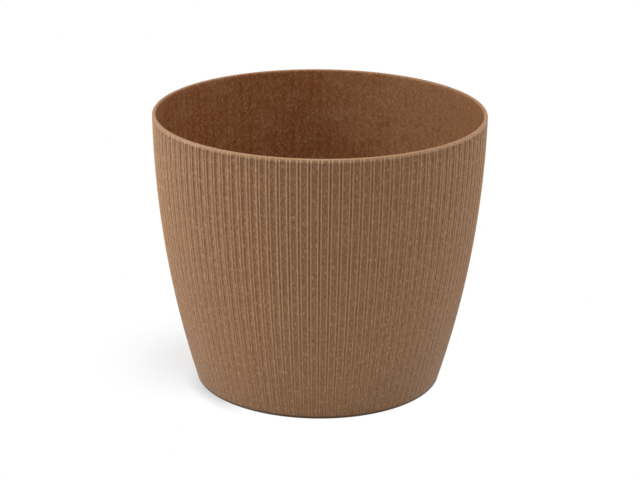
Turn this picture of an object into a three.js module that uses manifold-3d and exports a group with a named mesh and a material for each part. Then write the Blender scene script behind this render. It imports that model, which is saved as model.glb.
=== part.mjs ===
// A round, ribbed plastic plant pot, and the push-in plugs that close the drain holes in its floor.
// Millimetres, +Z up. The origin is the middle of the foot ring's underside, where the pot stands.
import * as THREE from "three";
import { mergeVertices } from "three/addons/utils/BufferGeometryUtils.js";
import Module from "manifold-3d";

const wasm = await Module();
wasm.setup();

// Driving dimensions of the pot's outline
const POT_HEIGHT = 176;
const RIM_RADIUS = 105;
const FOOT_RADIUS = 78;
const WALL_BOW = 6.3; // how far the wall's arc stands out from a straight line between foot and rim
const WALL_THICKNESS = 2.4;
const LIP_ROUND = 1.05;
const LIP_ROUND_LIMIT = 0.45; // share of the wall, so that the lip keeps a flat crest

// Ribs: low ridges with a shallow groove along the middle of each, and flat lands between them
const RIB_COUNT = 106;
const RIDGE_WIDTH = 4; // at the rim, with both its slopes
const RIDGE_HEIGHT_AT_RIM = 0.85; // above the lands
const RIDGE_HEIGHT_AT_FOOT = 0.15;
const GROOVE_WIDTH = 2.1; // at the rim, between the ridge's two crests
const GROOVE_DEPTH_AT_RIM = 0.45; // below the crests
const GROOVE_DEPTH_AT_FOOT = 0.12;
const RIB_RUN_OUT = 1.2; // the height over which the ribs fade to nothing at each end
const LIP_BAND = 0.3; // plain band between the ribs and the lip's rounded edge
const FOOT_BAND = 0.5; // plain band between the ribs and the foot's rounded edge

// Floor and foot ring
const FLOOR_THICKNESS = 2.6;
const FLOOR_FILLET = 6;
const FOOT_HEIGHT = 4; // the floor's underside stands this high above the ground
const FOOT_ROUND = 1.8;
const FOOT_FLAT = 3.2; // width of the flat ring that the pot stands on

// Drain holes and their plugs
const DRAIN_COUNT = 4;
const DRAIN_RADIUS = 7;
const DRAIN_MARGIN = 14; // bare floor between a plug's head and the floor's fillet
const FIT_CLEARANCE = 0.3;
const HEAD_OVERLAP = 4; // how far a plug's head covers the floor round its hole
const HEAD_THICKNESS = 2.4;
const HEAD_ROUND = 0.8;
const SEAL_SWELL = 0.5; // how far the stem swells half way through the floor
const TIP_TAPER = 1.2;
const TIP_TO_GROUND = 1.6;
const FIN_WIDTH = 13;
const FIN_HEIGHT = 7;
const FIN_THICKNESS = 3.2;
const FIN_CORNER = 3;

// Fineness of the round shapes
const WALL_STEPS = 5;
const FILLET_STEPS = 3;
const EDGE_STEPS = 2;
const PLUG_SIDES = 24;
const FIN_ARC_STEPS = 5;

// The wall's outline is one arc through the corner of the foot and the corner of the rim.
const chord = new THREE.Vector2(RIM_RADIUS - FOOT_RADIUS, POT_HEIGHT);
const arcRadius = chord.lengthSq() / (8 * WALL_BOW) + WALL_BOW / 2;
const outwards = new THREE.Vector2(chord.y, -chord.x).normalize();
const arcCentre = new THREE.Vector2(FOOT_RADIUS, 0)
  .addScaledVector(chord, 1 / 2)
  .addScaledVector(outwards, WALL_BOW - arcRadius);

function outerRadius(z) {
  return arcCentre.x + Math.sqrt(arcRadius ** 2 - (z - arcCentre.y) ** 2);
}

function innerRadius(z) {
  return outerRadius(z) - WALL_THICKNESS;
}

function ridgeHeight(z) {
  return THREE.MathUtils.mapLinear(z, 0, POT_HEIGHT, RIDGE_HEIGHT_AT_FOOT, RIDGE_HEIGHT_AT_RIM);
}

function grooveDepth(z) {
  return THREE.MathUtils.mapLinear(z, 0, POT_HEIGHT, GROOVE_DEPTH_AT_FOOT, GROOVE_DEPTH_AT_RIM);
}

// Places that the pot and its plugs share
const floorTop = FOOT_HEIGHT + FLOOR_THICKNESS;
const floorRadius = innerRadius(floorTop) - FLOOR_FILLET;
const headRadius = DRAIN_RADIUS + HEAD_OVERLAP;
const drainCircleRadius = floorRadius - DRAIN_MARGIN - headRadius;
const drainAngles = Array.from({ length: DRAIN_COUNT }, (_, i) => ((i + 0.5) * 2 * Math.PI) / DRAIN_COUNT);

function drainCentre(angle, z) {
  return new THREE.Vector3(drainCircleRadius * Math.cos(angle), drainCircleRadius * Math.sin(angle), z);
}

// A rounded corner of an outline, as [radius, z] points from one straight stretch to the next
function roundedCorner(from, at, to, steps) {
  const [start, middle, end] = [from, at, to].map((point) => new THREE.Vector2(...point));
  return new THREE.QuadraticBezierCurve(start, middle, end).getPoints(steps).map((p) => [p.x, p.y]);
}

function evenSteps(from, to, steps) {
  return Array.from({ length: steps + 1 }, (_, i) => THREE.MathUtils.lerp(from, to, i / steps));
}

// The rings that the pot's skin runs through: out over the inner floor, up the inside, over the lip,
// down the ribbed outside, round the foot ring and in under the floor
function potRings() {
  const lipRound = Math.min(LIP_ROUND, LIP_ROUND_LIMIT * WALL_THICKNESS);
  const lipStart = POT_HEIGHT - lipRound;
  const rimInside = RIM_RADIUS - WALL_THICKNESS;
  const filletTop = floorTop + FLOOR_FILLET;
  const ribTop = lipStart - LIP_BAND;
  const ribBottom = FOOT_ROUND + FOOT_BAND;
  const footEdge = FOOT_RADIUS - FOOT_ROUND;
  const footInside = footEdge - FOOT_FLAT;

  const floorEdge = roundedCorner(
    [floorRadius, floorTop],
    [innerRadius(floorTop), floorTop],
    [innerRadius(filletTop), filletTop],
    FILLET_STEPS,
  );
  const inside = evenSteps(filletTop, lipStart, WALL_STEPS).slice(1, -1).map((z) => [innerRadius(z), z]);
  const lipInside = roundedCorner(
    [innerRadius(lipStart), lipStart],
    [rimInside, POT_HEIGHT],
    [rimInside + lipRound, POT_HEIGHT],
    EDGE_STEPS,
  );
  const lipOutside = roundedCorner(
    [RIM_RADIUS - lipRound, POT_HEIGHT],
    [RIM_RADIUS, POT_HEIGHT],
    [outerRadius(lipStart), lipStart],
    EDGE_STEPS,
  );
  const ribs = evenSteps(ribTop - RIB_RUN_OUT, ribBottom + RIB_RUN_OUT, WALL_STEPS);
  const foot = roundedCorner(
    [outerRadius(FOOT_ROUND), FOOT_ROUND],
    [FOOT_RADIUS, 0],
    [footEdge, 0],
    EDGE_STEPS,
  );

  const plain = ([radius, z]) => ({ radius, z, section: [[0, 0]] });
  const ribbed = (z) => ({ radius: outerRadius(z), z, section: ribSection(z) });
  return [
    ...[...floorEdge, ...inside, ...lipInside, ...lipOutside].map(plain),
    plain([outerRadius(ribTop), ribTop]),
    ...ribs.map(ribbed),
    plain([outerRadius(ribBottom), ribBottom]),
    ...[...foot, [footInside, 0], [footInside, FOOT_HEIGHT]].map(plain),
  ];
}

// One ridge in section, as [turn from the groove, depth below the crests]: the foot of a slope, a crest,
// the bottom of the groove, the other crest and the foot of its slope
function ribSection(z) {
  const slopeFoot = RIDGE_WIDTH / 2 / RIM_RADIUS;
  const crest = GROOVE_WIDTH / 2 / RIM_RADIUS;
  const height = ridgeHeight(z);
  return [[-slopeFoot, height], [-crest, 0], [0, grooveDepth(z)], [crest, 0], [slopeFoot, height]];
}

// A ring's points, round from the front: each ridge's section in turn, or one point where there are no ribs
function ringPoints({ radius, z, section }) {
  const points = [];
  for (let rib = 0; rib < RIB_COUNT; rib++) {
    for (const [turn, cut] of section) {
      const angle = (rib * 2 * Math.PI) / RIB_COUNT + turn - Math.PI / 2;
      const reach = radius - cut;
      points.push({ angle, place: [reach * Math.cos(angle), reach * Math.sin(angle), z] });
    }
  }
  return points;
}

// Triangles between two neighbouring rings, stepping along whichever ring has the nearer next point
function bridge(first, second, triangles) {
  const nextAngle = (ring, i) => (i + 1 < ring.length ? ring[i + 1].angle : ring[0].angle + 2 * Math.PI);
  const indexAt = (ring, i) => ring[i % ring.length].index;
  let i = 0;
  let j = 0;
  while (i < first.length || j < second.length) {
    const a = indexAt(first, i);
    const b = indexAt(second, j);
    const firstIsNext = i < first.length && nextAngle(first, i) <= nextAngle(second, j);
    if (firstIsNext || j >= second.length) {
      i += 1;
      triangles.push(a, b, indexAt(first, i));
    } else {
      j += 1;
      triangles.push(a, b, indexAt(second, j));
    }
  }
}

// One closed skin through all the rings, with a fan of triangles across the first and the last
function skinGeometry(rings) {
  const positions = [];
  const triangles = [];
  const addPoint = (place) => {
    positions.push(...place);
    return positions.length / 3 - 1;
  };
  const loops = rings.map((ring) =>
    ringPoints(ring).map(({ angle, place }) => ({ angle, index: addPoint(place) })),
  );
  for (let k = 0; k + 1 < loops.length; k++) {
    bridge(loops[k], loops[k + 1], triangles);
  }
  const floorMiddle = addPoint([0, 0, rings.at(0).z]);
  const undersideMiddle = addPoint([0, 0, rings.at(-1).z]);
  for (let rib = 0; rib < RIB_COUNT; rib++) {
    const next = (rib + 1) % RIB_COUNT;
    triangles.push(loops.at(0)[rib].index, loops.at(0)[next].index, floorMiddle);
    triangles.push(loops.at(-1)[next].index, loops.at(-1)[rib].index, undersideMiddle);
  }
  const geometry = new THREE.BufferGeometry();
  geometry.setAttribute("position", new THREE.Float32BufferAttribute(positions, 3));
  geometry.setIndex(triangles);
  return geometry;
}

// A closed geometry as a solid that can be joined and cut, and back again
function toSolid(geometry) {
  const bare = geometry.clone();
  bare.deleteAttribute("normal");
  bare.deleteAttribute("uv");
  const merged = mergeVertices(bare);
  const vertProperties = new Float32Array(merged.attributes.position.array);
  const triVerts = new Uint32Array(merged.index.array);
  return new wasm.Manifold(new wasm.Mesh({ numProp: 3, vertProperties, triVerts }));
}

function toGeometry(solid) {
  const { vertProperties, triVerts } = solid.getMesh();
  const geometry = new THREE.BufferGeometry();
  geometry.setAttribute("position", new THREE.BufferAttribute(vertProperties, 3));
  geometry.setIndex(new THREE.BufferAttribute(triVerts, 1));
  geometry.computeVertexNormals();
  return geometry;
}

// The moulded pot: wall, ribs, lip, floor and foot ring in one piece, with the drain holes cut through
function potGeometry() {
  const drillLength = 3 * FLOOR_THICKNESS;
  const drill = new THREE.CylinderGeometry(DRAIN_RADIUS, DRAIN_RADIUS, drillLength, PLUG_SIDES);
  drill.rotateX(Math.PI / 2);
  let pot = toSolid(skinGeometry(potRings()));
  for (const angle of drainAngles) {
    const { x, y, z } = drainCentre(angle, floorTop - FLOOR_THICKNESS / 2);
    const hole = drill.clone().rotateZ(angle).translate(x, y, z);
    pot = pot.subtract(toSolid(hole));
  }
  return toGeometry(pot);
}

// A plug, with the underside of its head at z = 0: a round head, a stem that swells to seal the hole,
// a tapered tip and a fin to pull it by
function plugGeometry() {
  const sealRadius = DRAIN_RADIUS - FIT_CLEARANCE;
  const stemRadius = sealRadius - SEAL_SWELL;
  const tipEnd = TIP_TO_GROUND - floorTop - FIT_CLEARANCE;
  const headEdge = roundedCorner(
    [headRadius, HEAD_THICKNESS - HEAD_ROUND],
    [headRadius, HEAD_THICKNESS],
    [headRadius - HEAD_ROUND, HEAD_THICKNESS],
    EDGE_STEPS,
  );
  const outline = [
    [0, tipEnd],
    [stemRadius - TIP_TAPER, tipEnd],
    [stemRadius, -FLOOR_THICKNESS],
    [sealRadius, -FLOOR_THICKNESS / 2],
    [stemRadius, 0],
    [headRadius, 0],
    ...headEdge,
    [0, HEAD_THICKNESS],
  ];
  const turned = new THREE.LatheGeometry(outline.map((point) => new THREE.Vector2(...point)), PLUG_SIDES);
  turned.rotateX(Math.PI / 2);
  return toGeometry(toSolid(turned).add(toSolid(finGeometry())));
}

// The fin, an upright plate with rounded top corners, rooted half way into the plug's head
function finGeometry() {
  const half = FIN_WIDTH / 2;
  const root = HEAD_THICKNESS / 2;
  const top = HEAD_THICKNESS + FIN_HEIGHT;
  const round = Math.min(FIN_CORNER, half, FIN_HEIGHT);
  const outline = new THREE.Shape();
  outline.moveTo(-half, root);
  outline.lineTo(half, root);
  outline.absarc(half - round, top - round, round, 0, Math.PI / 2);
  outline.absarc(round - half, top - round, round, Math.PI / 2, Math.PI);
  const fin = new THREE.ExtrudeGeometry(outline, {
    depth: FIN_THICKNESS,
    bevelEnabled: false,
    curveSegments: FIN_ARC_STEPS,
  });
  fin.translate(0, 0, -FIN_THICKNESS / 2);
  fin.rotateX(Math.PI / 2);
  return fin;
}

const woodFibrePlastic = new THREE.MeshStandardMaterial({ color: 0x94704f, roughness: 0.65, metalness: 0 });
const plugRubber = new THREE.MeshStandardMaterial({ color: 0x33291f, roughness: 0.8, metalness: 0 });

const plantPot = new THREE.Group();

const potShell = new THREE.Mesh(potGeometry(), woodFibrePlastic);
potShell.name = "pot_shell";
plantPot.add(potShell);

const plugShape = plugGeometry();
drainAngles.forEach((angle, i) => {
  const plug = new THREE.Mesh(plugShape, plugRubber.clone());
  plug.name = `drain_plug_${i + 1}`;
  plug.position.copy(drainCentre(angle, floorTop + FIT_CLEARANCE));
  plug.rotation.z = angle;
  plantPot.add(plug);
});

export default plantPot;
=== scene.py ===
"""A ribbed plant pot of wood-fibre plastic, with its drain plugs, in a white studio. Metres, +Z up."""
import math

import bmesh
import bpy
import numpy as np
from mathutils import Matrix, Vector
from mathutils.geometry import delaunay_2d_cdt


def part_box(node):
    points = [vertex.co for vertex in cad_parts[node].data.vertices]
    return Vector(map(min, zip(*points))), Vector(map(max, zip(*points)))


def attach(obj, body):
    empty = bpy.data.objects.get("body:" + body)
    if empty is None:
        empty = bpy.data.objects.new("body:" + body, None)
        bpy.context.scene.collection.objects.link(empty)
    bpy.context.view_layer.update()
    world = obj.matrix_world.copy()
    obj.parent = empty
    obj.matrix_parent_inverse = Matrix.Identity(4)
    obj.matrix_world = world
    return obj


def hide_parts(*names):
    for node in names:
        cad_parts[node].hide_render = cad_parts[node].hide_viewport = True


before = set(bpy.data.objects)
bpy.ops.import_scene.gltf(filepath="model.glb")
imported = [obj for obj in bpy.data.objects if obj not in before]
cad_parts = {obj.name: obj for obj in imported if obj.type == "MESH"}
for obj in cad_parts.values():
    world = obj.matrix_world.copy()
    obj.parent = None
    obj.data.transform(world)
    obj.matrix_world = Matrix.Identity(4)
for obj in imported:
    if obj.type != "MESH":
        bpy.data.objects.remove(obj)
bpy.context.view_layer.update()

# The pot's outline: the rim and the height come from the frame
POT_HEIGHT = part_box("pot_shell")[1].z
RIM_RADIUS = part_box("pot_shell")[1].x
FOOT_RADIUS = 0.078
WALL_BOW = 0.0063
WALL_THICKNESS = 0.0024
LIP_ROUND = 0.00115

# Ribs: flat lands between low ridges, and a narrow groove along the middle of each ridge
RIB_COUNT = 106
RIDGE_WIDTH = 0.0040
RIDGE_HEIGHT_AT_RIM = 0.00085
RIDGE_HEIGHT_AT_FOOT = 0.00015
GROOVE_WIDTH = 0.0021
GROOVE_DEPTH_AT_RIM = 0.00045
GROOVE_DEPTH_AT_FOOT = 0.00012
RIB_RUN_OUT = 0.0012
LIP_BAND = 0.0007
FOOT_BAND = 0.0005
READ_THROUGH = 0.00004  # how far the ribs show on the inside

# Floor and foot
FLOOR_THICKNESS = 0.0026
FLOOR_FILLET = 0.006
FOOT_HEIGHT = 0.004
FOOT_ROUND = 0.0018
FOOT_FLAT = 0.0032

# Levels and a radius that follow from these
FLOOR_TOP = FOOT_HEIGHT + FLOOR_THICKNESS
FILLET_TOP = FLOOR_TOP + FLOOR_FILLET
LIP_START = POT_HEIGHT - LIP_ROUND
RIB_TOP = LIP_START - LIP_BAND
RIB_BOTTOM = FOOT_ROUND + FOOT_BAND
FOOT_EDGE = FOOT_RADIUS - FOOT_ROUND

# Drain holes and plugs
PLUG_COUNT = 4
PLUGS = [f"drain_plug_{number}" for number in range(1, PLUG_COUNT + 1)]
DRAIN_RADIUS = 0.007
DRAIN_EDGE = 0.0003
HEAD_THICKNESS = 0.0024
HEAD_ROUND = 0.0008
SEAL_SWELL = 0.0005
TIP_TAPER = 0.0012
TIP_SHOULDER = (0.4, 0.35)  # in and up, as shares of the taper
FIT_CLEARANCE = 0.0003
FIN_WIDTH = 0.013
FIN_THICKNESS = 0.0032
FIN_CORNER = 0.003
FIN_EDGE = 0.001
FIN_FILLET = 0.0008

# How finely the curves are cut, and the angles above which an edge is sharp
ROUND_STEPS = 64
FILLET_STEPS = 5
LIP_STEPS = 4
INNER_WALL_RINGS = 10
RIBBED_RINGS = 20
RUN_OUT_RINGS_AT_LIP = 6
RUN_OUT_RINGS_AT_FOOT = 5
SEAL_RINGS = 9
FIN_FILLET_STEPS = 4
FIN_CORNER_STEPS = 8
FIN_END_TURNS = np.radians([2, 4, 8, 10, 13, 15])  # where the fin's round ends need more points
WELD_DISTANCE = 1e-7
SHEET_TOLERANCE = 1e-8
SMALLEST_SINE = 1e-9
POT_SHARP_ANGLE = math.radians(50)
PLUG_SHARP_ANGLE = math.radians(40)

# Camera, as the photograph was taken
VIEW_AZIMUTH = math.radians(-0.22)
VIEW_ELEVATION = math.radians(19.11)
VIEW_ROLL = math.radians(0.49)
VIEW_DISTANCE = 1.3447
VIEW_AIM = Vector((0.0007, 0, 0.0904))
VIEW_LENS_MM = 118.34
SENSOR_WIDTH_MM = 36

# The wall's outline is one arc from the foot's corner to the rim's corner
chord = Vector((RIM_RADIUS - FOOT_RADIUS, POT_HEIGHT))
arc_radius = chord.length_squared / (8 * WALL_BOW) + WALL_BOW / 2
outwards = Vector((chord.y, -chord.x)).normalized()
arc_centre = Vector((FOOT_RADIUS, 0)) + chord / 2 + outwards * (WALL_BOW - arc_radius)


def outer_radius(z):
    """The wall's outer radius at a height, over the ridges."""
    return arc_centre.x + math.sqrt(arc_radius**2 - (z - arc_centre.y) ** 2)


def inner_radius(z):
    """The wall's inner radius at a height."""
    return outer_radius(z) - WALL_THICKNESS


def smooth_step(share):
    """A smooth rise from 0 to 1."""
    share = np.clip(share, 0, 1)
    return share * share * (3 - 2 * share)


def quarter_turn(steps):
    """Pairs of (sine, cosine) from 0 to 90 degrees."""
    return [(math.sin(t), math.cos(t)) for t in np.linspace(0, math.pi / 2, steps + 1)]


# Half a rib in section, from the groove's middle to the land's: places across it, the groove's share of its
# depth there, and how much of the ridge's height is lost
groove_steps = np.array([0, 0.35, 0.7, 1])
slope_steps = np.array([0.33, 0.67, 1])
groove_half = GROOVE_WIDTH / 2
slope_places = groove_half + slope_steps * (RIDGE_WIDTH / 2 - groove_half)
half_turn = np.concatenate([groove_steps * groove_half, slope_places]) / RIM_RADIUS
half_groove = np.concatenate([1 - smooth_step(groove_steps), np.zeros(len(slope_steps))])
half_drop = np.concatenate([np.zeros(len(groove_steps)), smooth_step(slope_steps)])
pitch = 2 * math.pi / RIB_COUNT


def whole_rib(half, land, mirror=1):
    """A value round one whole rib, from its value on one half and in the middle of the land."""
    return np.concatenate([mirror * half[:0:-1], half, [land]])


rib_starts = np.arange(RIB_COUNT) * pitch - math.pi / 2
ring_angles = np.add.outer(rib_starts, whole_rib(half_turn, pitch / 2, -1)).ravel()
ring_grooves = np.tile(whole_rib(half_groove, 0), RIB_COUNT)
ring_drops = np.tile(whole_rib(half_drop, 1), RIB_COUNT)


def ring(radius, z, groove=0.0, ridge=0.0):
    """A level ring of points, with grooves of that depth in ridges of that height."""
    reach = radius - groove * ring_grooves - ridge * ring_drops
    return np.stack(
        [reach * np.cos(ring_angles), reach * np.sin(ring_angles), np.full_like(reach, z)], axis=1
    )


def circle(centre, radius, z, angles):
    """A level circle of points at these angles."""
    return np.stack(
        [centre.x + radius * np.cos(angles), centre.y + radius * np.sin(angles), np.full_like(angles, z)],
        axis=1,
    )


class Skin:
    """Gathers loops of points and the faces between them, and welds them into one closed mesh."""

    def __init__(self):
        self.points = []
        self.faces = []
        self.slots = []

    def add_points(self, points):
        """Adds points and gives their numbers."""
        start = len(self.points)
        self.points.extend(tuple(p) for p in points)
        return np.arange(start, len(self.points))

    def add_faces(self, faces, slot):
        """Adds faces that wear the material in that slot."""
        self.faces.extend(faces)
        self.slots.extend([slot] * len(faces))

    def loft(self, loops, slot=0):
        """Four-sided faces between each loop and the next."""
        ids = [self.add_points(loop) for loop in loops]
        for a, b in zip(ids, ids[1:]):
            self.add_faces(np.stack([a, np.roll(a, -1), np.roll(b, -1), b], axis=1).tolist(), slot)

    def cap(self, loop, slot=0):
        """A fan from a loop to its middle."""
        rim = self.add_points(loop)
        middle = self.add_points([np.mean(loop, axis=0)])[0]
        self.add_faces([(a, b, middle) for a, b in zip(rim, np.roll(rim, -1))], slot)

    def panel(self, outside, holes, slot):
        """A flat sheet inside one loop, left open inside the others."""
        loops = [outside, *holes]
        places = [Vector(p[:2]) for loop in loops for p in loop]
        edges = []
        start = 0
        for loop in loops:
            edges += [(start + i, start + (i + 1) % len(loop)) for i in range(len(loop))]
            start += len(loop)
        only_inside = 1
        spots, _, triangles, *_ = delaunay_2d_cdt(places, edges, [], only_inside, SHEET_TOLERANCE)
        middles = [Vector(np.mean(hole, axis=0)[:2]) for hole in holes]
        reaches = [(Vector(hole[0][:2]) - middle).length for hole, middle in zip(holes, middles)]
        ids = self.add_points([(p.x, p.y, outside[0][2]) for p in spots])
        for triangle in triangles:
            centre = sum((spots[i] for i in triangle), Vector((0, 0))) / 3
            if all((centre - m).length > reach for m, reach in zip(middles, reaches)):
                self.add_faces([[ids[i] for i in triangle]], slot)

    def to_object(self, name, materials, sharp_angle):
        """The welded mesh as an object, smooth but for its sharp edges."""
        mesh = bpy.data.meshes.new(name)
        mesh.from_pydata(self.points, [], self.faces)
        mesh.polygons.foreach_set("material_index", self.slots)
        work = bmesh.new()
        work.from_mesh(mesh)
        bmesh.ops.remove_doubles(work, verts=work.verts, dist=WELD_DISTANCE)
        bmesh.ops.recalc_face_normals(work, faces=work.faces)
        work.to_mesh(mesh)
        work.free()
        mesh.shade_smooth()
        mesh.set_sharp_from_angle(angle=sharp_angle)
        for material in materials:
            mesh.materials.append(material)
        piece = bpy.data.objects.new(name, mesh)
        bpy.context.scene.collection.objects.link(piece)
        return piece


def drain_places():
    """The middle of each drain hole, where its plug stands."""
    boxes = [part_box(plug) for plug in PLUGS]
    return [Vector(((low.x + high.x) / 2, (low.y + high.y) / 2)) for low, high in boxes]


def ribbed_ring(z):
    """A ring of the outer wall, with ribs that fade out below the lip and above the foot."""
    share = z / POT_HEIGHT
    fade = smooth_step((RIB_TOP - z) / RIB_RUN_OUT) * smooth_step((z - RIB_BOTTOM) / RIB_RUN_OUT)
    groove = GROOVE_DEPTH_AT_FOOT + (GROOVE_DEPTH_AT_RIM - GROOVE_DEPTH_AT_FOOT) * share
    ridge = RIDGE_HEIGHT_AT_FOOT + (RIDGE_HEIGHT_AT_RIM - RIDGE_HEIGHT_AT_FOOT) * share
    return ring(outer_radius(z), z, fade * groove, fade * ridge)


def inside_rings():
    """Rings up the inside, from the floor's edge through its fillet to the top of the wall."""
    floor_radius = inner_radius(FILLET_TOP) - FLOOR_FILLET
    fillet = [
        ring(floor_radius + FLOOR_FILLET * s, FILLET_TOP - FLOOR_FILLET * c)
        for s, c in quarter_turn(FILLET_STEPS)
    ]
    wall = [
        ring(inner_radius(z), z, ridge=-READ_THROUGH * smooth_step((z - FILLET_TOP) / RIB_RUN_OUT))
        for z in np.linspace(FILLET_TOP, RIB_TOP, INNER_WALL_RINGS)
    ]
    return [*fillet, *wall[1:]]


def lip_rings():
    """Rings over the rounded lip, from the inside to the outside."""
    inner = RIM_RADIUS - WALL_THICKNESS + LIP_ROUND
    outer = outer_radius(LIP_START) - LIP_ROUND
    turn = quarter_turn(LIP_STEPS)
    rings = [ring(inner - LIP_ROUND * c, LIP_START + LIP_ROUND * s) for s, c in turn]
    rings += [ring(outer + LIP_ROUND * s, LIP_START + LIP_ROUND * c) for s, c in turn]
    return rings


def outside_rings():
    """Rings down the ribbed wall, round the foot ring and up to the underside of the floor."""
    full_top = RIB_TOP - RIB_RUN_OUT
    full_bottom = RIB_BOTTOM + RIB_RUN_OUT
    levels = np.concatenate([
        np.linspace(RIB_TOP, full_top, RUN_OUT_RINGS_AT_LIP)[:-1],
        np.linspace(full_top, full_bottom, RIBBED_RINGS),
        np.linspace(full_bottom, RIB_BOTTOM, RUN_OUT_RINGS_AT_FOOT)[1:],
    ])
    wall = [ribbed_ring(z) for z in levels]
    round_top = outer_radius(FOOT_ROUND)
    foot = [
        ring(round_top - (round_top - FOOT_EDGE) * (1 - c), FOOT_ROUND * (1 - s))
        for s, c in quarter_turn(FILLET_STEPS)
    ]
    foot_inside = FOOT_EDGE - FOOT_FLAT
    return [*wall, *foot, ring(foot_inside, 0), ring(foot_inside, FOOT_HEIGHT)]


def drain_hole(centre):
    """Circles down one drain hole, from the floor's top to its underside, with both edges broken."""
    wide = DRAIN_RADIUS + DRAIN_EDGE
    section = [
        (wide, FLOOR_TOP),
        (DRAIN_RADIUS, FLOOR_TOP - DRAIN_EDGE),
        (DRAIN_RADIUS, FOOT_HEIGHT + DRAIN_EDGE),
        (wide, FOOT_HEIGHT),
    ]
    angles = np.linspace(0, 2 * math.pi, ROUND_STEPS, endpoint=False)
    return [circle(centre, radius, z, angles) for radius, z in section]


# The pot's two materials, by their slots in its mesh
OUTSIDE_SLOT = 0
INSIDE_SLOT = 1


def make_pot(outside_material, inside_material):
    """The moulded shell: floor, inside wall, lip, ribbed outside and foot ring, with its drain holes."""
    inside = inside_rings()
    lip = lip_rings()
    outside = outside_rings()
    holes = [drain_hole(centre) for centre in drain_places()]
    colour_change = LIP_STEPS // 2  # half way up the lip's inner rounding
    skin = Skin()
    skin.loft([*inside, *lip[:colour_change + 1]], INSIDE_SLOT)
    skin.loft([*lip[colour_change:], *outside], OUTSIDE_SLOT)
    for hole in holes:
        skin.loft(hole, INSIDE_SLOT)
    skin.panel(inside[0], [hole[0] for hole in holes], INSIDE_SLOT)
    skin.panel(outside[-1], [hole[-1] for hole in holes], OUTSIDE_SLOT)
    return skin.to_object("moulded_pot", [outside_material, inside_material], POT_SHARP_ANGLE)


def fin_loop(half_width, half_thickness, z, angles):
    """A round-ended slot shape, at the same angles as a plug's circles."""
    straight = half_width - half_thickness
    sine, cosine = np.abs(np.sin(angles)), np.abs(np.cos(angles))
    on_side = half_thickness * cosine <= straight * sine
    side_reach = half_thickness / np.maximum(sine, SMALLEST_SINE)
    end_reach = straight * cosine + np.sqrt(np.maximum(half_thickness**2 - (straight * sine) ** 2, 0))
    reach = np.where(on_side, side_reach, end_reach)
    return np.stack([reach * np.cos(angles), reach * np.sin(angles), np.full_like(angles, z)], axis=1)


def make_plug_mesh(low, high, material):
    """One plug, with the underside of its head at z = 0, and its fin along X."""
    head_radius = (high.x - low.x) / 2
    seat = FLOOR_TOP + FIT_CLEARANCE
    tip_end = low.z - seat
    fin_top = high.z - seat
    seal_radius = DRAIN_RADIUS - FIT_CLEARANCE
    stem_radius = seal_radius - SEAL_SWELL
    even = np.linspace(0, 2 * math.pi, ROUND_STEPS, endpoint=False)
    ends = [FIN_END_TURNS, math.pi - FIN_END_TURNS, math.pi + FIN_END_TURNS, 2 * math.pi - FIN_END_TURNS]
    angles = np.unique(np.concatenate([even, *ends]))
    middle = Vector((0, 0))

    shoulder_in, shoulder_up = (share * TIP_TAPER for share in TIP_SHOULDER)
    tip = [(stem_radius - TIP_TAPER, tip_end), (stem_radius - shoulder_in, tip_end + shoulder_up)]
    seal = [(stem_radius + SEAL_SWELL * math.sin(math.pi * t), -FLOOR_THICKNESS * (1 - t))
            for t in np.linspace(0, 1, SEAL_RINGS)]
    edge = [(head_radius - HEAD_ROUND * (1 - c), HEAD_THICKNESS - HEAD_ROUND * (1 - s))
            for s, c in quarter_turn(FILLET_STEPS)]
    loops = [circle(middle, r, z, angles) for r, z in [*tip, *seal, (head_radius, 0), *edge]]
    loops += [fin_loop(FIN_WIDTH / 2 + FIN_FILLET * (1 - s), FIN_THICKNESS / 2 + FIN_FILLET * (1 - s),
                       HEAD_THICKNESS + FIN_FILLET * (1 - c), angles)
              for s, c in quarter_turn(FIN_FILLET_STEPS)]
    loops += [fin_loop(FIN_WIDTH / 2 - FIN_CORNER * (1 - c), FIN_THICKNESS / 2 - FIN_EDGE * (1 - c),
                       fin_top - FIN_CORNER * (1 - s), angles)
              for s, c in quarter_turn(FIN_CORNER_STEPS)]
    skin = Skin()
    skin.cap(loops[0])
    skin.loft(loops)
    skin.cap(loops[-1])
    return skin.to_object("rubber_plug_1", [material], PLUG_SHARP_ANGLE)


def make_plugs(material):
    """The four plugs, each seated in its drain hole with its fin pointing at the pot's axis."""
    first = make_plug_mesh(*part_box(PLUGS[0]), material)
    plugs = [first]
    for number in range(2, PLUG_COUNT + 1):
        plugs.append(bpy.data.objects.new(f"rubber_plug_{number}", first.data))
        bpy.context.scene.collection.objects.link(plugs[-1])
    for plug, centre in zip(plugs, drain_places()):
        turn = Matrix.Rotation(math.atan2(centre.y, centre.x), 4, "Z")
        plug.matrix_world = Matrix.Translation((centre.x, centre.y, FLOOR_TOP + FIT_CLEARANCE)) @ turn
    return plugs


def feed(tree, socket, value):
    """Gives a socket its value, or links another node's output to it."""
    if isinstance(value, bpy.types.NodeSocket):
        tree.links.new(value, socket)
    else:
        socket.default_value = value


def add_node(tree, kind, settings=None, **inputs):
    """A shader node with its settings and inputs, where an input is a value or another node's output."""
    node = tree.nodes.new(kind)
    for name, value in (settings or {}).items():
        setattr(node, name, value)
    for name, value in inputs.items():
        feed(tree, node.inputs[name.replace("_", " ")], value)
    return node


def mix_colours(tree, factor, first, second):
    """The colour output of a mix of two colours. The numbers are a Mix node's colour sockets."""
    node = tree.nodes.new("ShaderNodeMix")
    node.data_type = "RGBA"
    for number, value in ((0, factor), (6, first), (7, second)):
        feed(tree, node.inputs[number], (*value, 1) if isinstance(value, tuple) else value)
    return node.outputs[2]


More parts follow.
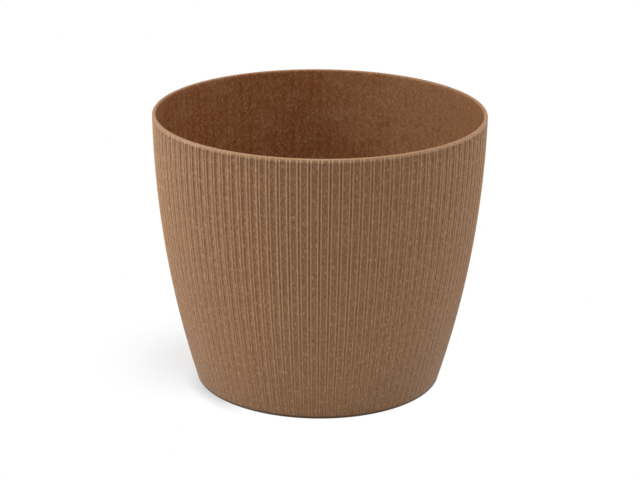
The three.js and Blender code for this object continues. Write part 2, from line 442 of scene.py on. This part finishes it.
def map_range(tree, value, low, high, to_low, to_high):
    """A value mapped from one range to another, and held at its ends."""
    node = add_node(tree, "ShaderNodeMapRange", Value=value)
    for name, number in zip(("From Min", "From Max", "To Min", "To Max"), (low, high, to_low, to_high)):
        node.inputs[name].default_value = number
    return node.outputs["Result"]


def calculate(tree, operation, *values):
    """The output of one step of arithmetic on values or other nodes' outputs."""
    node = add_node(tree, "ShaderNodeMath", {"operation": operation})
    for socket, value in zip(node.inputs, values):
        feed(tree, socket, value)
    return node.outputs[0]


def noise(tree, vector, size, detail, roughness=0.5):
    """Noise with features about that many metres across."""
    node = add_node(
        tree, "ShaderNodeTexNoise", Vector=vector, Scale=1 / size, Detail=detail, Roughness=roughness
    )
    return node.outputs["Fac"]


def fibres(tree, vector, tilt, offset, size, strength):
    """A mask of short, nearly upright fibres of that width and length that lean one way."""
    width, length = size
    leaned = add_node(tree, "ShaderNodeVectorRotate", {"rotation_type": "EULER_XYZ"},
                      Vector=vector, Rotation=tilt)
    place = add_node(
        tree, "ShaderNodeMapping", {"vector_type": "POINT"}, Vector=leaned.outputs["Vector"],
        Location=offset, Scale=(1 / width, 1 / width, 1 / length),
    )
    value = add_node(
        tree, "ShaderNodeTexNoise", Vector=place.outputs["Vector"], Scale=1.0, Detail=0.0
    ).outputs["Fac"]
    return map_range(tree, value, *FIBRE_RANGE, 0, strength)


def new_material(name):
    """A material with one plain shader, its node tree and that shader."""
    material = bpy.data.materials.new(name)
    material.use_nodes = True
    tree = material.node_tree
    tree.nodes.clear()
    shader = tree.nodes.new("ShaderNodeBsdfPrincipled")
    output = tree.nodes.new("ShaderNodeOutputMaterial")
    tree.links.new(shader.outputs["BSDF"], output.inputs["Surface"])
    return material, tree, shader


# Colours and grain of the wood-fibre plastic, where it is worn, and the shade and highlights painted on it
OUTSIDE_BROWN = (0.243, 0.110, 0.0433)
OUTSIDE_CLOUD = (0.273, 0.125, 0.0492)
# inside: the same plastic painted darker and redder for the shade and bounced light in the pot
INSIDE_BROWN = (0.229, 0.060, 0.006)
INSIDE_CLOUD = (0.300, 0.128, 0.0515)
CLOUD_SIZE = 0.022
CLOUD_DETAIL = 4.0
CLOUD_ROUGHNESS = 0.65
CLOUD_RANGE = (0.42, 0.72)  # levels of the noise where a cloud starts and is full
LIGHT_FIBRE = (0.41, 0.23, 0.11)
DARK_FIBRE = (0.14, 0.062, 0.024)
OUTSIDE_FIBRE_SIZE = (0.0006, 0.0016)
INSIDE_FIBRE_SIZE = (0.0011, 0.0019)
FIBRE_STRENGTH = 0.5
FIBRE_RANGE = (0.58, 0.76)  # levels of the noise where a fibre starts and is full
FIBRE_TILTS = [(0.15, 0.1, 0.4), (-0.2, 0.25, 1.6), (0.1, -0.3, 2.5)]
LIGHT_FIBRE_PLACE = (7.3, 1.1, 2.2)  # these places keep one set of fibres apart from another
DARK_FIBRE_PLACE = (5.1, 8.4, 4.2)
STREAK_PLACE = (3.1, 0, 1.7)
STREAK_BROWN = (0.54, 0.35, 0.21)
STREAK_SIZE = (0.0005, 0.0035)
STREAK_STRENGTH = 0.6
# the crests are paler: partly wear, partly a painted highlight where they catch the light; the lip's edge
# gets the same colour as a painted highlight
WEAR_AND_HIGHLIGHT_BROWN = (0.515, 0.305, 0.157)
CREST_WEAR_AND_HIGHLIGHT_WIDTH = 0.0005
CREST_WEAR_AND_HIGHLIGHT_STRENGTH = 0.95
RIB_PAINT_AT_FOOT = 0.4  # share of the crests' wear and painted highlight, and of the grooves' painted shade, that is left at the foot
RIB_PAINT_FULL_HEIGHT = 0.09
RIB_SHADING_PATCHES = 5  # how often the ribs' painted shade and highlight come and go round the pot, strongest at the front
RIB_SHADING_MEAN = 0.7
RIB_SHADING_SWING = 0.3
# painted shade: the grooves are coloured darker and redder, as shade falls in them
GROOVE_SHADE_BROWN = (0.17, 0.045, 0.004)
GROOVE_SHADE_STRENGTH = 0.9
GROOVE_SHADE = 0.6  # share of a groove's half width that gets the painted shade
# painted highlight: glints at the crests' tops just under the lip
CREST_TOP_GLINT_BROWN = (0.80, 0.60, 0.42)
# painted highlight on the lip's outer edge, at the front and at the back
LIP_HIGHLIGHT = 0.35
LIP_HIGHLIGHT_PATCHES = 2  # at the front and at the back
TOP_HIGHLIGHT_DEPTH = 0.003
TRACE_SHADING_STRENGTH = 0.13  # of the painted shading of the ribs' sink marks inside
# painted shade: a dark line at the bottom of the foot ring, where it meets the floor
FOOT_SHADE_BROWN = (0.045, 0.028, 0.016)
FOOT_SHADE_HEIGHT = 0.0030
FOOT_SHADE_STRENGTH = 0.9
PLASTIC_SPECULAR = 0.3
PLASTIC_ROUGHNESS = (0.44, 0.58)
PLASTIC_GRAIN_SIZE = 0.0006
PLASTIC_BUMP = (0.25, 0.0001)  # strength and height
GRAIN_RANGE = (0.3, 0.7)
GRAIN_DETAIL = 2.0

# The plugs' rubber
DARK_RUBBER = (0.030, 0.021, 0.015)
BLOOM_RUBBER = (0.055, 0.043, 0.034)
BLOOM_SIZE = 0.004
BLOOM_DETAIL = 4.0
BLOOM_ROUGHNESS = 0.6
BLOOM_RANGE = (0.4, 0.7)
RUBBER_ROUGHNESS = (0.6, 0.8)
RUBBER_GRAIN_SIZE = 0.0003
RUBBER_BUMP = (0.2, 0.00005)  # strength and height


def turn_about_axis(tree, axes):
    """The angle round the pot, 0 at the front."""
    return calculate(tree, "ARCTAN2", axes["X"], calculate(tree, "MULTIPLY", axes["Y"], -1))


def wave_round(tree, turn, count):
    """A wave from -1 to 1 that comes that many times round the pot, with a top at the front."""
    return calculate(tree, "COSINE", calculate(tree, "MULTIPLY", turn, count))


def rib_trace_shading(tree, where, colour):
    """The inside wall's colour with the ribs' faint trace painted on it as shading: pale upright bands
    behind the lands.
    """
    axes = add_node(tree, "ShaderNodeSeparateXYZ", Vector=where).outputs
    wave = wave_round(tree, turn_about_axis(tree, axes), RIB_COUNT)
    # painted shading of the ribs' sink marks
    bands = map_range(tree, wave, -1, 1, TRACE_SHADING_STRENGTH, 0)
    on_wall = map_range(tree, axes["Z"], FILLET_TOP, FILLET_TOP + FLOOR_FILLET, 0, 1)
    return mix_colours(tree, calculate(tree, "MULTIPLY", bands, on_wall), colour, LIGHT_FIBRE)


def rib_masks(tree, height, turn, across):
    """Where the wall is a groove with painted shade, and where it is a crest that is partly worn and partly
    a painted highlight.
    """
    above_foot = map_range(tree, height, 0, RIB_PAINT_FULL_HEIGHT, RIB_PAINT_AT_FOOT, 1)
    below_lip = map_range(tree, height, LIP_START, POT_HEIGHT - LIP_ROUND / 2, 1, 0)
    # painted light: the ribs' painted shade and highlight swing round the pot, strongest at the front
    wave = wave_round(tree, turn, RIB_SHADING_PATCHES)
    patches = calculate(tree, "MULTIPLY_ADD", wave, RIB_SHADING_SWING, RIB_SHADING_MEAN)
    on_wall = calculate(tree, "MULTIPLY", calculate(tree, "MULTIPLY", above_foot, below_lip), patches)
    from_groove = calculate(tree, "PINGPONG", across, pitch * RIM_RADIUS / 2)
    from_crest = calculate(tree, "ABSOLUTE", calculate(tree, "SUBTRACT", from_groove, groove_half))
    grooves = map_range(tree, from_groove, 0, GROOVE_SHADE * groove_half, GROOVE_SHADE_STRENGTH, 0)
    crests = map_range(tree, from_crest, 0, CREST_WEAR_AND_HIGHLIGHT_WIDTH, CREST_WEAR_AND_HIGHLIGHT_STRENGTH, 0)
    return [calculate(tree, "MULTIPLY", mask, on_wall) for mask in (grooves, crests)]


def lip_masks(tree, axes, turn):
    """Where the lip's outer edge has a painted highlight, and the band near the top where painted
    highlights go, most at the front and at the back.
    """
    squares = [calculate(tree, "MULTIPLY", axes[name], axes[name]) for name in "XY"]
    radius = calculate(tree, "SQRT", calculate(tree, "ADD", *squares))
    top_band_start = POT_HEIGHT - TOP_HIGHLIGHT_DEPTH
    near_top = map_range(tree, axes["Z"], top_band_start, top_band_start + TOP_HIGHLIGHT_DEPTH / 2, 0, 1)
    edge_start = RIM_RADIUS - LIP_ROUND
    outer_edge = map_range(tree, radius, edge_start, edge_start + LIP_ROUND / 2, 0, LIP_HIGHLIGHT)
    wave = wave_round(tree, turn, LIP_HIGHLIGHT_PATCHES)
    top_highlight = calculate(tree, "MULTIPLY", near_top, map_range(tree, wave, -1, 1, 0, 1))
    return calculate(tree, "MULTIPLY", outer_edge, top_highlight), top_highlight


def ribs_wear_and_painted_light(tree, where, colour):
    """The ribbed wall's colour with streaks, painted shade in the grooves and at the foot edge, crests
    partly worn and partly a painted highlight, and a painted highlight on the lip.
    """
    axes = add_node(tree, "ShaderNodeSeparateXYZ", Vector=where).outputs
    height = axes["Z"]
    turn = turn_about_axis(tree, axes)
    across = calculate(tree, "MULTIPLY", turn, RIM_RADIUS)
    grooves, crests = rib_masks(tree, height, turn, across)
    lip, top_highlight = lip_masks(tree, axes, turn)
    # painted shade along the foot's bottom edge
    foot_shade = map_range(tree, height, FOOT_SHADE_HEIGHT / 2, FOOT_SHADE_HEIGHT, FOOT_SHADE_STRENGTH, 0)
    unrolled = add_node(tree, "ShaderNodeCombineXYZ", X=across, Z=height).outputs["Vector"]
    streaks = fibres(tree, unrolled, (0, 0, 0), STREAK_PLACE, STREAK_SIZE, STREAK_STRENGTH)
    colour = mix_colours(tree, streaks, colour, STREAK_BROWN)
    # painted shade in the grooves
    colour = mix_colours(tree, grooves, colour, GROOVE_SHADE_BROWN)
    # crests: partly wear, partly painted highlight; lip: painted highlight
    colour = mix_colours(tree, calculate(tree, "MAXIMUM", crests, lip), colour, WEAR_AND_HIGHLIGHT_BROWN)
    # painted highlight: glints at the crests' tops under the lip
    colour = mix_colours(tree, calculate(tree, "MULTIPLY", crests, top_highlight), colour, CREST_TOP_GLINT_BROWN)
    return mix_colours(tree, foot_shade, colour, FOOT_SHADE_BROWN)


def add_grain(tree, shader, where, size, strength, height):
    """A fine bump on the shader, and the noise that it is made of."""
    grain = noise(tree, where, size, GRAIN_DETAIL)
    bump = add_node(tree, "ShaderNodeBump", Strength=strength, Distance=height, Height=grain)
    tree.links.new(bump.outputs["Normal"], shader.inputs["Normal"])
    return grain


def wood_fibre_plastic(name, brown, cloud, painted_light_right, painted_light_up, fibre_size, sheen, ribbed):
    """Brown plastic filled with fine wood fibres: light and dark specks, soft clouds and a fine grain.

    Its clouds grow to the right and upwards by the two shares of painted light: paler to the right and
    darker lower down, as the light falls in the pot.
    """
    material, tree, shader = new_material(name)
    where = tree.nodes.new("ShaderNodeTexCoord").outputs["Object"]
    axes = add_node(tree, "ShaderNodeSeparateXYZ", Vector=where).outputs
    to_right = calculate(tree, "MAXIMUM", axes["X"], 0)
    from_rim = calculate(tree, "SUBTRACT", axes["Z"], POT_HEIGHT)
    clouds = noise(tree, where, CLOUD_SIZE, CLOUD_DETAIL, CLOUD_ROUGHNESS)
    # painted light paler to the right, and painted shade lower down
    clouds = calculate(tree, "MULTIPLY_ADD", to_right, painted_light_right, clouds)
    clouds = calculate(tree, "MULTIPLY_ADD", from_rim, painted_light_up, clouds)
    colour = mix_colours(tree, map_range(tree, clouds, *CLOUD_RANGE, 0, 1), brown, cloud)
    shader.inputs["Specular IOR Level"].default_value = PLASTIC_SPECULAR
    shader.inputs["Sheen Weight"].default_value = sheen
    for i, tilt in enumerate(FIBRE_TILTS):
        for (x, y, z), fibre in ((LIGHT_FIBRE_PLACE, LIGHT_FIBRE), (DARK_FIBRE_PLACE, DARK_FIBRE)):
            mask = fibres(tree, where, tilt, (i * x, y, z), fibre_size, FIBRE_STRENGTH)
            colour = mix_colours(tree, mask, colour, fibre)
    colour = ribs_wear_and_painted_light(tree, where, colour) if ribbed else rib_trace_shading(tree, where, colour)
    tree.links.new(colour, shader.inputs["Base Color"])
    grain = add_grain(tree, shader, where, PLASTIC_GRAIN_SIZE, *PLASTIC_BUMP)
    roughness = map_range(tree, grain, *GRAIN_RANGE, *PLASTIC_ROUGHNESS)
    tree.links.new(roughness, shader.inputs["Roughness"])
    return material


def plug_rubber():
    """Soft dark rubber with a faint bloom and a fine grain."""
    material, tree, shader = new_material("plug_rubber")
    where = tree.nodes.new("ShaderNodeTexCoord").outputs["Object"]
    bloom = noise(tree, where, BLOOM_SIZE, BLOOM_DETAIL, BLOOM_ROUGHNESS)
    share = map_range(tree, bloom, *BLOOM_RANGE, 0, 1)
    colour = mix_colours(tree, share, DARK_RUBBER, BLOOM_RUBBER)
    tree.links.new(colour, shader.inputs["Base Color"])
    roughness = map_range(tree, bloom, *GRAIN_RANGE, *RUBBER_ROUGHNESS)
    tree.links.new(roughness, shader.inputs["Roughness"])
    add_grain(tree, shader, where, RUBBER_GRAIN_SIZE, *RUBBER_BUMP)
    return material


def seen_directly(tree):
    """1 for what the camera sees straight, in a gloss or through glass, and 0 for light on the object."""
    path = tree.nodes.new("ShaderNodeLightPath")
    seen = path.outputs["Is Camera Ray"]
    for name in ("Is Glossy Ray", "Is Transmission Ray"):
        seen = calculate(tree, "MAXIMUM", seen, path.outputs[name])
    return seen


def mix_shaders(tree, factor, first, second):
    """The output of a mix of two shaders."""
    node = tree.nodes.new("ShaderNodeMixShader")
    for socket, value in zip(node.inputs, (factor, first, second)):
        tree.links.new(value, socket)
    return node.outputs[0]


# The studio: its light, its floor, and the pot's shadow on it
WHITE = (1, 1, 1, 1)
AMBIENT = 0.57
FLOOR_SIZE = 6.0
FLOOR_GAP = 0.0001  # keeps the floor clear of the foot ring's flat
FLOOR_ROUGHNESS = 0.9
FLOOR_BOUNCE_IN_FRONT = 0.66  # shares of the light that the floor throws back on the pot
FLOOR_BOUNCE_BESIDE = 0.23
FRONT_RANGE = (-1, -0.5)  # from straight in front to 60 degrees beside
FLOOR_PAINT = 0.33
FLOOR_GLOW = 0.55
SHADOW_PLACE = (-0.080, 0.025, 0)
SHADOW_NEAR = 0.020
SHADOW_FAR = 0.075
CONTACT_SHADE = 0.45  # of the darker floor close to the foot
CONTACT_REACH = 0.012
CONTACT_LEFT = (-0.045, -0.062)  # X where that shade starts and where it is full
CONTACT_FRONT = (0.002, -0.030)  # the same in Y
LIGHT_AIM = Vector((0, 0, 0.09))
COOL_LIGHT = (0.95, 1.0, 1.06)
PLAIN_LIGHT = (1, 1, 1)
LIGHTS = [  # name, azimuth, elevation, distance, width, height, power and tint
    ("softbox_left", -84, 32, 1.5, 0.5, 0.4, 7.3, COOL_LIGHT),
    ("strip_left", -85, 7, 0.6, 0.22, 0.06, 1.3, COOL_LIGHT),
    ("softbox_right", 94, 32, 1.5, 0.5, 0.4, 2.7, PLAIN_LIGHT),
    ("strip_right", 93, 7, 0.6, 0.22, 0.06, 0.77, PLAIN_LIGHT),
    ("softbox_top", 0, 88, 1.6, 0.8, 0.8, 16, PLAIN_LIGHT),
]


def add_world():
    """White where it is seen, and a soft even light elsewhere."""
    world = bpy.data.worlds.new("studio")
    bpy.context.scene.world = world
    world.use_nodes = True
    tree = world.node_tree
    tree.nodes.clear()
    light = add_node(tree, "ShaderNodeBackground", Color=WHITE, Strength=AMBIENT)
    white = add_node(tree, "ShaderNodeBackground", Color=WHITE, Strength=1.0)
    output = tree.nodes.new("ShaderNodeOutputWorld")
    mixed = mix_shaders(tree, seen_directly(tree), light.outputs[0], white.outputs[0])
    tree.links.new(mixed, output.inputs["Surface"])


def seen_floor(tree, where, axes, from_axis):
    """The floor as the camera sees it: white, but for the shadow and the dark line at the foot."""
    grey = (FLOOR_PAINT, FLOOR_PAINT, FLOOR_PAINT, 1)
    paint = add_node(tree, "ShaderNodeBsdfDiffuse", Color=grey).outputs[0]
    glow = add_node(tree, "ShaderNodeEmission", Color=WHITE, Strength=FLOOR_GLOW).outputs[0]
    white = add_node(tree, "ShaderNodeEmission", Color=WHITE, Strength=1.0).outputs[0]
    shaded = tree.nodes.new("ShaderNodeAddShader")
    tree.links.new(paint, shaded.inputs[0])
    tree.links.new(glow, shaded.inputs[1])
    away = add_node(tree, "ShaderNodeVectorMath", {"operation": "DISTANCE"}, Vector=where)
    away.inputs[1].default_value = SHADOW_PLACE
    open_floor = map_range(tree, away.outputs["Value"], SHADOW_NEAR, SHADOW_FAR, 0, 1)
    seen = mix_shaders(tree, open_floor, shaded.outputs[0], white)
    outside_foot = map_range(tree, from_axis, FOOT_EDGE - FOOT_ROUND, FOOT_EDGE, 0, 1)
    seen = mix_shaders(tree, outside_foot, paint, seen)
    contact = map_range(tree, from_axis, FOOT_EDGE, FOOT_EDGE + CONTACT_REACH, CONTACT_SHADE, 0)
    for axis, places in (("X", CONTACT_LEFT), ("Y", CONTACT_FRONT)):
        contact = calculate(tree, "MULTIPLY", contact, map_range(tree, axes[axis], *places, 0, 1))
    return mix_shaders(tree, contact, seen, paint)


def floor_material():
    """A matt floor that throws more light back from in front of the pot than from beside it."""
    material, tree, shader = new_material("studio_floor")
    shader.inputs["Roughness"].default_value = FLOOR_ROUGHNESS
    shader.inputs["Specular IOR Level"].default_value = 0.0
    where = tree.nodes.new("ShaderNodeTexCoord").outputs["Object"]
    length = add_node(tree, "ShaderNodeVectorMath", {"operation": "LENGTH"}, Vector=where)
    from_axis = length.outputs["Value"]
    axes = add_node(tree, "ShaderNodeSeparateXYZ", Vector=where).outputs
    facing = calculate(tree, "DIVIDE", axes["Y"], from_axis)
    bounce = map_range(tree, facing, *FRONT_RANGE, FLOOR_BOUNCE_IN_FRONT, FLOOR_BOUNCE_BESIDE)
    tree.links.new(bounce, shader.inputs["Base Color"])
    seen = seen_floor(tree, where, axes, from_axis)
    mixed = mix_shaders(tree, seen_directly(tree), shader.outputs[0], seen)
    output = next(n for n in tree.nodes if n.type == "OUTPUT_MATERIAL")
    tree.links.new(mixed, output.inputs["Surface"])
    return material


def add_floor():
    """A wide floor that lies just under the pot."""
    bpy.ops.mesh.primitive_plane_add(size=FLOOR_SIZE, location=(0, 0, -FLOOR_GAP))
    floor = bpy.context.object
    floor.name = "studio_floor"
    floor.data.materials.append(floor_material())


def add_softbox(name, azimuth, elevation, distance, width, height, power, tint):
    """An area light that looks at the pot. Azimuth 0 is the camera's side, and 90 is the right."""
    turn, rise = math.radians(azimuth), math.radians(elevation)
    towards = Vector((math.sin(turn) * math.cos(rise), -math.cos(turn) * math.cos(rise), math.sin(rise)))
    lamp = bpy.data.lights.new(name, "AREA")
    lamp.shape = "RECTANGLE"
    lamp.size = width
    lamp.size_y = height
    lamp.energy = power
    lamp.color = tint
    light = bpy.data.objects.new(name, lamp)
    light.location = LIGHT_AIM + towards * distance
    light.rotation_euler = towards.to_track_quat("Z", "Y").to_euler()
    bpy.context.scene.collection.objects.link(light)


def add_camera():
    """The photograph's camera, which looks at the middle of the pot from a little above."""
    rise = VIEW_ELEVATION
    back = Vector((0, -math.cos(rise), math.sin(rise)))
    side = Vector((1, 0, 0))
    up = back.cross(side)
    right = side * math.cos(VIEW_ROLL) + up * math.sin(VIEW_ROLL)
    top = up * math.cos(VIEW_ROLL) - side * math.sin(VIEW_ROLL)
    place = Matrix((right, top, back)).transposed().to_4x4()
    place.translation = VIEW_AIM + back * VIEW_DISTANCE
    place = Matrix.Rotation(VIEW_AZIMUTH, 4, "Z") @ place
    lens = bpy.data.cameras.new("camera")
    lens.lens = VIEW_LENS_MM
    lens.sensor_width = SENSOR_WIDTH_MM
    camera = bpy.data.objects.new("camera", lens)
    camera.matrix_world = place
    bpy.context.scene.collection.objects.link(camera)
    bpy.context.scene.camera = camera


pot = make_pot(
    wood_fibre_plastic(
        "pot_outside", OUTSIDE_BROWN, OUTSIDE_CLOUD, painted_light_right=0, painted_light_up=0,
        fibre_size=OUTSIDE_FIBRE_SIZE, sheen=0.03, ribbed=True,
    ),
    wood_fibre_plastic(
        "pot_inside", INSIDE_BROWN, INSIDE_CLOUD, painted_light_right=3.6, painted_light_up=0.6,
        fibre_size=INSIDE_FIBRE_SIZE, sheen=0, ribbed=False,
    ),
)
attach(pot, "pot")
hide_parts("pot_shell")

for number, plug in enumerate(make_plugs(plug_rubber()), start=1):
    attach(plug, f"plug_{number}")
    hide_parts(f"drain_plug_{number}")

add_world()
add_floor()
for light_row in LIGHTS:
    add_softbox(*light_row)
add_camera()
bpy.context.scene.view_settings.view_transform = "Standard"
